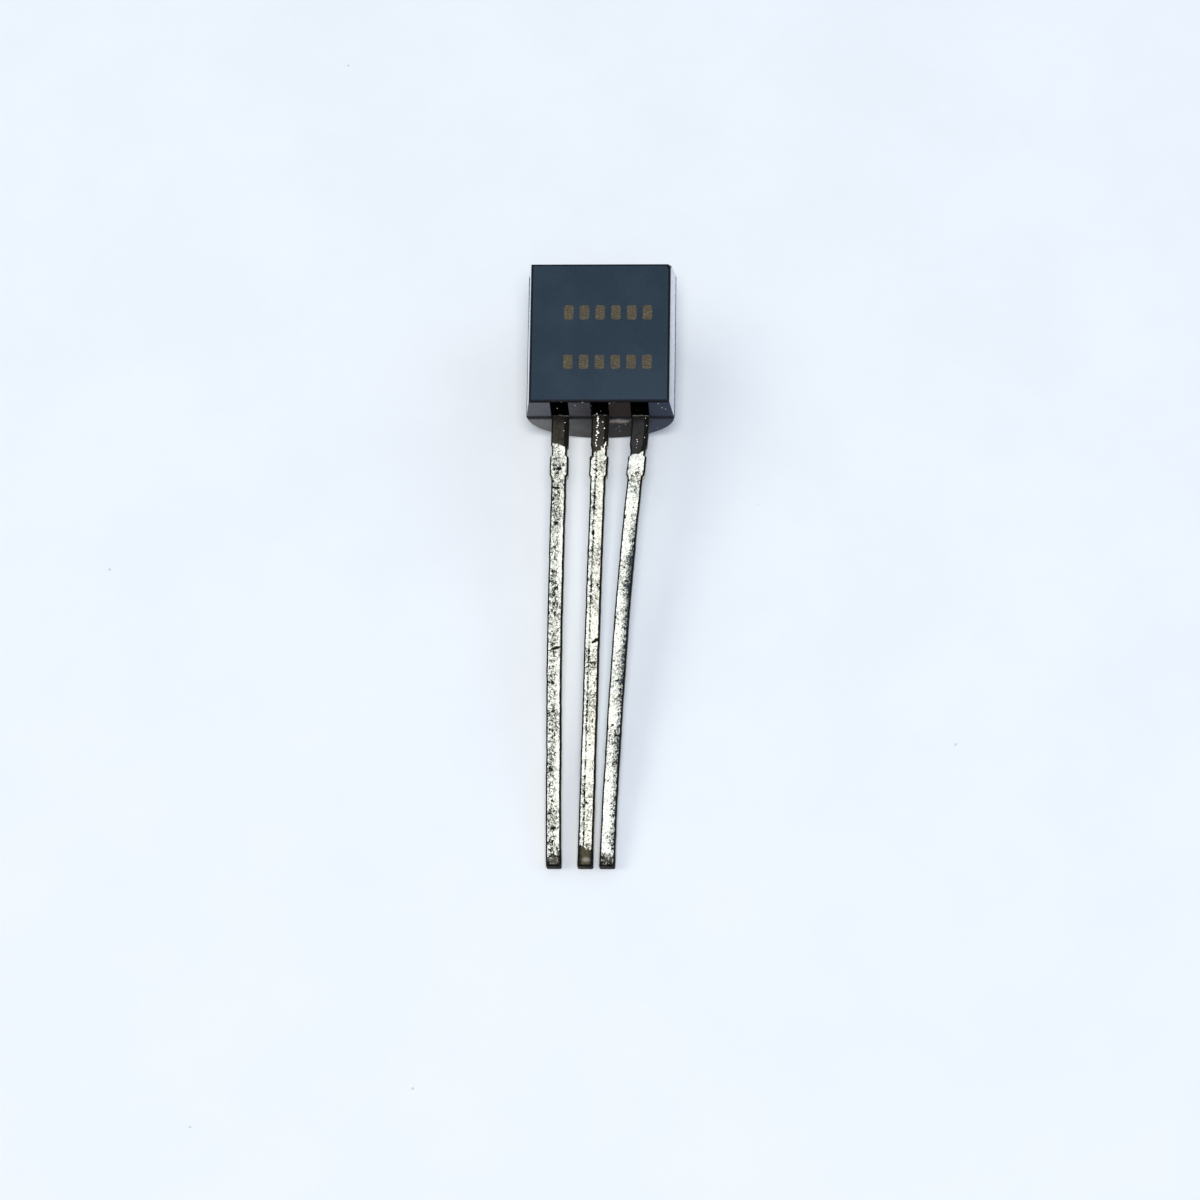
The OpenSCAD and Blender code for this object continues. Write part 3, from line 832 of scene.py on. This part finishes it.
def tin_material(finish, name, reach, look):
    """Copper alloy lead, stamped and then dipped in tin: bright cream grains with dark pits, cracks and
    curls between them, bare and oxidised by the body and at the cut tip. Painted shade darkens its
    rounded edges and its right flank, and paints it black inside the slot."""
    material, tree, surface = new_material(name, {"Metallic": 1.0})
    spot = add(tree, "Attribute", {"attribute_type": "GEOMETRY", "attribute_name": "lead_place"})
    rim = add(tree, "Attribute", {"attribute_type": "GEOMETRY", "attribute_name": "lead_sides"})
    place = spot.outputs["Vector"]
    at = add(tree, "SeparateXYZ", None, {"Vector": place})
    across, through, along = at.outputs["X"], at.outputs["Y"], at.outputs["Z"]
    from_side = add(tree, "SeparateXYZ", None, {"Vector": rim.outputs["Vector"]})
    own = add(tree, "Mapping", None, {"Vector": place, "Location": (0, 0, look["patch"] * MM)})
    drawn = add(tree, "Mapping", None, {"Vector": own, "Scale": (1.0, 1.0, 0.75)})
    lumps, patches, fine, curly, mottle = (
        add(tree, "TexNoise", None, {"Vector": where, "Scale": per_mm(size), "Detail": detail,
                                     "Roughness": rough, "Distortion": twist})
        for where, size, detail, rough, twist in (
            (own, 0.3, 3.0, 0.5, 0.0), (own, 1.1, 2.0, 0.5, 0.0), (drawn, 0.08, 4.0, 0.66, 0.7),
            (own, 0.17, 3.0, 0.55, 1.4), (drawn, 0.055, 3.0, 0.7, 0.5)))
    bent = add(tree, "VectorMath", "MULTIPLY_ADD", (lumps.outputs["Color"], (0.5 * MM,) * 3, own))
    flakes = add(tree, "TexVoronoi", {"feature": "DISTANCE_TO_EDGE"},
                 {"Vector": bent, "Scale": per_mm(0.26), "Randomness": 1.0})

    # pits gather along a line, more on some stretches than on others, and hardly beside the bare root
    line, half, weight = look["pit_line"]
    aside = add(tree, "Math", "SUBTRACT", (across, line * MM))
    aside = add(tree, "Math", "ABSOLUTE", (aside,))
    near_line = add(tree, "MapRange", SMOOTH, (aside, half * MM, half * 0.3 * MM, 0.0, weight))
    stretch = add(tree, "MapRange", SMOOTH, (patches, 0.36, 0.64, look["wear"] - 0.03, look["wear"] + 0.035))
    crowd = add(tree, "Math", "ADD", (near_line, stretch))
    root_end, root_slant = look["root"]
    fresh = add(tree, "MapRange", SMOOTH, (along, (root_end + 0.22) * MM, (root_end + 0.55) * MM, -0.05, 0.0))
    crowd = add(tree, "Math", "ADD", (crowd, fresh))
    level = add(tree, "Math", "ADD", (fine, crowd))
    pits = add(tree, "MapRange", SMOOTH, (level, 0.565, 0.65))
    curl = add(tree, "Math", "COMPARE", (curly, 0.5, 0.009))
    rim_of = add(tree, "MapRange", SMOOTH, (flakes.outputs["Distance"], 0.075, 0.035))
    broken = add(tree, "MapRange", SMOOTH, (curly, 0.42, 0.56))
    rim_of = add(tree, "Math", "MULTIPLY", (rim_of, broken))
    curl = add(tree, "Math", "MAXIMUM", (curl, rim_of))
    often = add(tree, "MapRange", SMOOTH, (crowd, -0.03, 0.05, 0.35, 0.9))
    cracks = add(tree, "Math", "MULTIPLY", (curl, often))
    dark = add(tree, "Math", "MAXIMUM", (pits, cracks))
    for x, down, wide, high, slant in look["nicks"]:
        # a nick of the cropping tool, with a ragged rim
        far = from_oval(tree, place, (x * MM, 0, down * MM), (wide * MM, 1.0, high * MM),
                        (0, math.radians(slant), 0))
        far = add(tree, "Math", "MULTIPLY_ADD", (fine, -2.4, far))
        hole = add(tree, "MapRange", SMOOTH, (far, -0.1, -0.4))
        dark = add(tree, "Math", "MAXIMUM", (dark, hole))

    # cream tin, greyer in patches and yellowish beside the line
    worn = add(tree, "Math", "MULTIPLY_ADD", (crowd, 1.2, mottle))
    grey = add(tree, "MapRange", SMOOTH, (worn, 0.46, 0.68))
    tone = add(tree, "Mix", TONES, {AMOUNT: grey, TONE_A: finish.tin, TONE_B: finish.tin_grey})
    beside = add(tree, "MapRange", SMOOTH, (across, (line - 0.05) * MM, (line + 0.15) * MM, 0.0, look["warm"]))
    warm = add(tree, "Mix", TONES, {AMOUNT: beside, TONE_A: finish.tin, TONE_B: finish.tin_warm})
    tone = add(tree, "Mix", {**TONES, "blend_type": "MULTIPLY"}, {AMOUNT: 1.0, TONE_A: tone, TONE_B: warm})

    # the tin is thin and warm on the sheared sides
    depth = add(tree, "Math", "ABSOLUTE", (through,))
    nearer = add(tree, "Math", "MINIMUM", (from_side.outputs["X"], from_side.outputs["Y"]))
    sheared = add(tree, "MapRange", SMOOTH, (nearer, 0.03 * MM, 0.01 * MM))

    # painted shade: a leaning lead's right flank is turned from the light, and is painted dark on the front
    # face from a little below the stubs
    facing = add(tree, "MapRange", SMOOTH, (depth, 0.10 * MM, 0.14 * MM))
    frayed = add(tree, "Math", "MULTIPLY_ADD", (mottle, 0.6 * MM, from_side.outputs["Y"]))
    frayed = add(tree, "Math", "MULTIPLY_ADD", (fine, 0.8 * MM, frayed))
    lower = add(tree, "MapRange", SMOOTH, (along, 2.6 * MM, 4.6 * MM, 0.66 * MM, 0.86 * MM))
    narrower = add(tree, "MapRange", SMOOTH, (along, 6.0 * MM, 9.0 * MM, 0.0, -0.05 * MM))
    reached = add(tree, "Math", "ADD", (lower, narrower))
    inside = add(tree, "Math", "SUBTRACT", (reached, frayed))
    flank = add(tree, "MapRange", SMOOTH, (inside, -0.02 * MM, 0.03 * MM, 0.0, look["flank"]))
    flecks = add(tree, "MapRange", SMOOTH, (mottle, 0.5, 0.62, 1.0, 0.4))
    flank = add(tree, "Math", "MULTIPLY", (flank, flecks))
    seen = add(tree, "MapRange", None, (facing, 0.0, 1.0, 0.3, 1.0))
    flank = add(tree, "Math", "MULTIPLY", (flank, seen))

    # where the tin stops short of the body, with a slanting, scalloped end
    scallop = add(tree, "Math", "MULTIPLY_ADD", (lumps, 0.7 * MM, along))
    slant = add(tree, "Math", "MULTIPLY_ADD", (across, root_slant, scallop))
    bare = add(tree, "MapRange", SMOOTH, (slant, (root_end + 0.37) * MM, (root_end + 0.33) * MM))
    rust = add(tree, "MapRange", SMOOTH, (fine, 0.45, 0.7, 0.0, 0.6))
    oxide = add(tree, "Mix", TONES, {AMOUNT: rust, TONE_A: finish.oxide, TONE_B: finish.pit})
    oxide = add(tree, "Mix", TONES, {AMOUNT: look["flank"] * 0.35, TONE_A: oxide, TONE_B: finish.shade})

    # the cut tip shows the bare alloy, paler in its middle, with tin smeared over its upper end
    tip, polished, smeared = look["tip"]
    smear = add(tree, "Math", "MULTIPLY_ADD", (mottle, 0.9 * MM, along))
    smear = add(tree, "Math", "MULTIPLY_ADD", (lumps, 0.8 * MM, smear))
    cut = add(tree, "MapRange", SMOOTH, (smear, (reach - tip + 0.82) * MM, (reach - tip + 0.88) * MM))
    inner = add(tree, "Math", "MULTIPLY_ADD", (fine, 0.3 * MM, nearer))
    polish = add(tree, "MapRange", SMOOTH, (inner, 0.19 * MM, 0.32 * MM, 0.0, polished))
    smears = add(tree, "MapRange", SMOOTH, (mottle, 0.52, 0.62, 0.0, smeared))
    far = from_oval(tree, place, (0.01 * MM, 0, (reach - 0.2) * MM), (0.13 * MM, 1.0, 0.08 * MM))
    far = add(tree, "Math", "MULTIPLY_ADD", (mottle, 1.2, far))
    pale = add(tree, "MapRange", SMOOTH, (far, 2.0, 0.9, 0.0, polished * 0.4))
    sawn = add(tree, "MapRange", SMOOTH, (along, (reach - 0.07) * MM, (reach - 0.03) * MM, 0.0, 0.9))
    ends = finish.pit
    for amount, over in ((polish, finish.cut_end), (smears, finish.tin_grey), (pale, finish.tin_grey),
                         (sawn, finish.slot)):
        ends = add(tree, "Mix", TONES, {AMOUNT: amount, TONE_A: ends, TONE_B: over})

    # painted shade: the rounded edges are painted dark, and more so beside the bare root
    shade = add(tree, "MapRange", None, (bare, 0.0, 1.0, 0.095 * MM, 0.17 * MM))
    ragged = add(tree, "Math", "MULTIPLY_ADD", (fine, -0.06 * MM, shade))
    right = add(tree, "Math", "LESS_THAN", (from_side.outputs["Y"], ragged))
    thin = add(tree, "Math", "MULTIPLY_ADD", (fine, 0.06 * MM, 0.022 * MM))
    left = add(tree, "Math", "LESS_THAN", (from_side.outputs["X"], thin))
    edges = add(tree, "Math", "MAXIMUM", (left, right))
    edges = add(tree, "Math", "MULTIPLY", (edges, facing))

    # inside the slot the lead is painted black as shade, with pale specks of filler as painted glints; this
    # ends in a pale lip over a ring of painted shade at the exit
    sunk = add(tree, "Math", "MULTIPLY_ADD", (lumps, 0.12 * MM, along))
    exit_shade = add(tree, "MapRange", SMOOTH, (sunk, 0.38 * MM, 0.12 * MM, 0.0, 0.75))
    glints = filler_glints(tree, own, 0.3)
    slot_shade_tone = add(tree, "Mix", TONES, {AMOUNT: glints, TONE_A: finish.slot, TONE_B: finish.filler})
    slot_shade = add(tree, "MapRange", SMOOTH, (sunk, 0.035 * MM, 0.015 * MM))
    lip = add(tree, "Math", "COMPARE", (sunk, 0.045 * MM, 0.016 * MM))
    partly = add(tree, "MapRange", SMOOTH, (curly, 0.42, 0.58, 0.0, 0.35))
    lip = add(tree, "Math", "MULTIPLY", (lip, partly))

    for amount, over in ((dark, finish.pit), (sheared, finish.sheared), (flank, finish.shade), (bare, oxide),
                         (cut, ends), (edges, finish.pit), (exit_shade, finish.pit), (slot_shade, slot_shade_tone),
                         (lip, finish.tin_grey)):
        tone = add(tree, "Mix", TONES, {AMOUNT: amount, TONE_A: tone, TONE_B: over})
    dull = add(tree, "Math", "MAXIMUM", (bare, cut))
    dull = add(tree, "Math", "MAXIMUM", (dull, dark))
    satin = add(tree, "Mix", VALUES, {AMOUNT: dull, VALUE_A: 0.36, VALUE_B: 0.62})
    height = add(tree, "Math", "MULTIPLY_ADD", (dark, -0.5, lumps))
    bump = add(tree, "Bump", None, {"Strength": 0.6, "Distance": 0.02 * MM, "Height": height})
    dress(tree, surface, colour=tone, roughness=satin, normal=bump)
    return material


def silicon_material(finish):
    """Silicon, sawn and polished: a dark grey mirror with faint stripes of metal tracks."""
    material, tree, surface = new_material("polished_silicon", {"Roughness": 0.18, "Metallic": 0.4})
    split = add(tree, "SeparateXYZ", None, {"Vector": package_place(tree)})
    track = add(tree, "Math", "PINGPONG", (split.outputs["X"], 0.03 * MM))
    shown = add(tree, "MapRange", SMOOTH, (track, 0.020 * MM, 0.024 * MM, 0.0, 0.5))
    dress(tree, surface, colour=add(tree, "Mix", TONES,
                                    {AMOUNT: shown, TONE_A: finish.silicon, TONE_B: finish.attach}))
    return material


def metal_material(name, tone, dark, roughness, grain):
    """Metal with a fine grain that changes its tone and its gloss a little."""
    material, tree, surface = new_material(name, {"Metallic": 1.0})
    spot = add(tree, "TexCoord").outputs["Object"]
    noise = add(tree, "TexNoise", None, {"Vector": spot, "Scale": per_mm(grain), "Detail": 3.0})
    amount = add(tree, "MapRange", SMOOTH, (noise, 0.4, 0.7, 0.0, 0.5))
    mixed = add(tree, "Mix", TONES, {AMOUNT: amount, TONE_A: tone, TONE_B: dark})
    satin = add(tree, "MapRange", SMOOTH, (noise, 0.3, 0.7, roughness - 0.05, roughness + 0.1))
    dress(tree, surface, colour=mixed, roughness=satin)
    return material


def card_material(stage):
    """Smooth white card, calendered and matt: a faint cool tint that drifts a little, and a few specks."""
    material, tree, surface = new_material(
        "smooth_white_card", {"Roughness": 0.9, "IOR": 1.4, "Specular IOR Level": 0.2})
    spot = add(tree, "TexCoord").outputs["Object"]
    drift = add(tree, "TexNoise", None, {"Vector": spot, "Scale": per_mm(6.0), "Detail": 5.0, "Roughness": 0.6})
    amount = add(tree, "MapRange", SMOOTH, (drift, 0.35, 0.65))
    duller = [value * 0.97 for value in stage.paper[:3]] + [1.0]
    tone = add(tree, "Mix", TONES, {AMOUNT: amount, TONE_A: stage.paper, TONE_B: duller})
    cells = add(tree, "TexVoronoi", None, {"Vector": spot, "Scale": per_mm(2.6), "Randomness": 1.0})
    speck = add(tree, "MapRange", SMOOTH, (cells, 0.022, 0.014, 0.0, 0.35))
    dress(tree, surface, colour=add(tree, "Mix", TONES,
                                    {AMOUNT: speck, TONE_A: tone, TONE_B: linear("#8d8f90")}))
    return material


# ---- operators ----

class TRANSISTOR_OT_body(bpy.types.Operator):
    """Mould the D-shaped body with its slots, parting line, ejector mark and gate scar"""
    bl_idname = "transistor.body"
    bl_label = "Mould the body"

    def execute(self, context):
        scene = context.scene
        finish = scene.transistor_finishes
        body = build_body(scene.transistor_body, scene.transistor_leads)
        looks = {"skin": skin_material, "slot": slot_shade_material, "wall": wall_material,
                 "end": end_material, "edge": edge_material}
        for name in BODY_FINISHES:
            body.data.materials.append(looks[name](finish))
        soften(body, 0.012 * MM, 32.0)
        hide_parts("epoxy_body")
        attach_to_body(body, "root")
        return {"FINISHED"}


class TRANSISTOR_OT_marks(bpy.types.Operator):
    """Bleach two rows of plain blocks into the flat face"""
    bl_idname = "transistor.marks"
    bl_label = "Mark the face"

    def execute(self, context):
        scene = context.scene
        marks = build_marks(scene.transistor_marks, scene.transistor_body)
        marks.data.materials.append(laser_material(scene.transistor_finishes))
        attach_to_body(marks, "root")
        return {"FINISHED"}


class TRANSISTOR_OT_leads(bpy.types.Operator):
    """Draw the three tinned leads with their heads inside the body"""
    bl_idname = "transistor.leads"
    bl_label = "Draw the leads"

    def execute(self, context):
        scene = context.scene
        leads, finish = scene.transistor_leads, scene.transistor_finishes
        solder = metal_material("bright_solder", finish.tin, finish.tin_grey, 0.3, 0.05)
        for name, row in LEAD_LOOKS.items():
            lean, bow = (mm(getattr(leads, "%s_%s" % (name, part))) for part in ("shift", "bow"))
            centre = lead_line(leads, row["order"] * mm(leads.pitch), lean, bow)
            piece = build_lead(leads, "tinned_%s_lead" % name, centre, row)
            piece.data.materials.append(tin_material(finish, "hot_dipped_tin_%s" % name, mm(leads.reach), row))
            piece.data.materials.append(solder)
            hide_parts(name + "_lead")
            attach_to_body(piece, "root")
        return {"FINISHED"}


class TRANSISTOR_OT_chip(bpy.types.Operator):
    """Finish the die, its attach and the bond wires inside the body"""
    bl_idname = "transistor.chip"
    bl_label = "Finish the die and its bonds"

    def execute(self, context):
        finish = context.scene.transistor_finishes
        looks = {
            "silicon_die": silicon_material(finish),
            "die_attach": metal_material("dull_die_attach_alloy", finish.attach, finish.pit, 0.45, 0.05),
        }
        looks["base_bond_wire"] = looks["emitter_bond_wire"] = metal_material(
            "drawn_gold_wire", finish.gold, finish.cut_end, 0.22, 0.04)
        for node, material in looks.items():
            for slot in frame["nodes"][node].material_slots:
                slot.material = material
        return {"FINISHED"}


# Each lamp's place and width in metres, and whether the leads alone shade it.
LAMPS = {
    "key": ((0.028, -0.22, 0.56), 0.18, False),
    "warm": ((-0.31, -0.06, 0.28), 0.26, True),
    "cool": ((0.30, -0.02, 0.20), 0.16, True),
}


class TRANSISTOR_OT_stage(bpy.types.Operator):
    """Lay the pale sheet, hang the soft lamps and set up the camera"""
    bl_idname = "transistor.stage"
    bl_label = "Set the stage"

    def execute(self, context):
        scene = context.scene
        stage = scene.transistor_stage
        lay_sheet(scene, stage)
        light_surroundings(scene, stage)
        leads = [piece for piece in scene.objects if piece.name.startswith("tinned_")]
        for name, (place, size, leads_only) in LAMPS.items():
            watts, tint = (getattr(stage, "%s_%s" % (name, part)) for part in ("power", "tint"))
            hang_lamp(scene, name + "_lamp", place, size, watts, tint, leads if leads_only else ())
        aim_camera(scene, stage)
        scene.view_settings.view_transform = "Standard"
        return {"FINISHED"}


def lay_sheet(scene, stage):
    bm = bmesh.new()
    bmesh.ops.create_grid(bm, x_segments=8, y_segments=8, size=2.0)
    mesh = bpy.data.meshes.new("pale_sheet")
    bm.to_mesh(mesh)
    bm.free()
    sheet = bpy.data.objects.new("pale_sheet", mesh)
    scene.collection.objects.link(sheet)
    sheet.data.materials.append(card_material(stage))


def light_surroundings(scene, stage):
    world = bpy.data.worlds.new("soft_surroundings")
    scene.world = world
    world.use_nodes = True
    tree = world.node_tree
    tree.nodes.clear()
    light = add(tree, "Background", None, {"Color": stage.sky_light, "Strength": stage.sky_strength})
    seen = add(tree, "Background", None, {"Color": stage.sky, "Strength": 1.0})
    ray = add(tree, "LightPath")
    shiny = add(tree, "Math", "MAXIMUM", (ray.outputs["Is Glossy Ray"], ray.outputs["Is Transmission Ray"]))
    shown = add(tree, "Math", "MAXIMUM", (ray.outputs["Is Camera Ray"], shiny))
    mixed = add(tree, "MixShader", None, {"Fac": shown, 1: light, 2: seen})
    add(tree, "OutputWorld", None, {"Surface": mixed})


def hang_lamp(scene, name, place, size, watts, tint, shading):
    """Broad round lamp, turned to the part. Where pieces are given, only they shade it."""
    lamp = bpy.data.lights.new(name, "AREA")
    lamp.shape = "DISK"
    lamp.size = size
    lamp.energy = watts
    lamp.color = tint[:3]
    holder = bpy.data.objects.new(name, lamp)
    scene.collection.objects.link(holder)
    holder.location = place
    holder.rotation_euler = (-Vector(place)).to_track_quat("-Z", "Y").to_euler()
    if shading:
        screen = bpy.data.collections.new(name + "_screen")
        for piece in shading:
            screen.objects.link(piece)
        holder.light_linking.blocker_collection = screen


SENSOR = 36.0  # width of the camera's sensor, in millimetres


def aim_camera(scene, stage):
    """Looks at the flat face from a little below and to its right, as the part lies."""
    down, aside = stage.look_down, stage.look_aside
    towards = Vector((math.sin(aside), -math.cos(aside) * math.cos(down), -math.cos(aside) * math.sin(down)))
    right = (-towards).cross(Vector((0, 0, 1))).normalized()
    up = right.cross(-towards)
    right, up = (math.cos(stage.roll) * right + math.sin(stage.roll) * up,
                 math.cos(stage.roll) * up - math.sin(stage.roll) * right)
    turn = LIE_DOWN.to_3x3() @ Matrix((right, up, towards)).transposed()
    aim = LIE_DOWN @ Vector((stage.aim_x, 0, stage.aim_z))
    camera = bpy.data.cameras.new("camera")
    camera.sensor_width = SENSOR
    camera.lens = SENSOR * stage.distance / stage.frame_width
    camera.clip_start = 0.005
    holder = bpy.data.objects.new("camera", camera)
    scene.collection.objects.link(holder)
    holder.matrix_world = Matrix.Translation(aim + turn @ Vector((0, 0, stage.distance))) @ turn.to_4x4()
    scene.camera = holder


class TRANSISTOR_PT_build(bpy.types.Panel):
    """Sizes, finishes and steps of the transistor"""
    bl_label = "Three-lead transistor"
    bl_idname = "TRANSISTOR_PT_build"
    bl_space_type = "VIEW_3D"
    bl_region_type = "UI"
    bl_category = "Transistor"

    def draw(self, context):
        layout = self.layout
        for operator in STEPS:
            layout.operator(operator.bl_idname)
        for settings in SETTINGS:
            box = layout.box()
            group = getattr(context.scene, settings)
            for field in group.bl_rna.properties:
                if field.identifier not in {"rna_type", "name"}:
                    box.prop(group, field.identifier)


STEPS = (TRANSISTOR_OT_body, TRANSISTOR_OT_marks, TRANSISTOR_OT_leads, TRANSISTOR_OT_chip, TRANSISTOR_OT_stage)
SETTINGS = {
    "transistor_body": BodySizes,
    "transistor_leads": LeadSizes,
    "transistor_marks": MarkSizes,
    "transistor_finishes": Finishes,
    "transistor_stage": StageSettings,
}


def register():
    for group in SETTINGS.values():
        bpy.utils.register_class(group)
    for name, group in SETTINGS.items():
        setattr(bpy.types.Scene, name, bpy.props.PointerProperty(type=group))
    for cls in STEPS + (TRANSISTOR_PT_build,):
        bpy.utils.register_class(cls)


def unregister():
    for cls in (TRANSISTOR_PT_build,) + STEPS[::-1]:
        bpy.utils.unregister_class(cls)
    for name in SETTINGS:
        delattr(bpy.types.Scene, name)
    for group in reversed(list(SETTINGS.values())):
        bpy.utils.unregister_class(group)


def main():
    register()
    bpy.ops.transistor.body()
    bpy.ops.transistor.marks()
    bpy.ops.transistor.leads()
    bpy.ops.transistor.chip()
    bpy.ops.transistor.stage()
    bpy.context.view_layer.update()


if __name__ == "__main__":
    main()
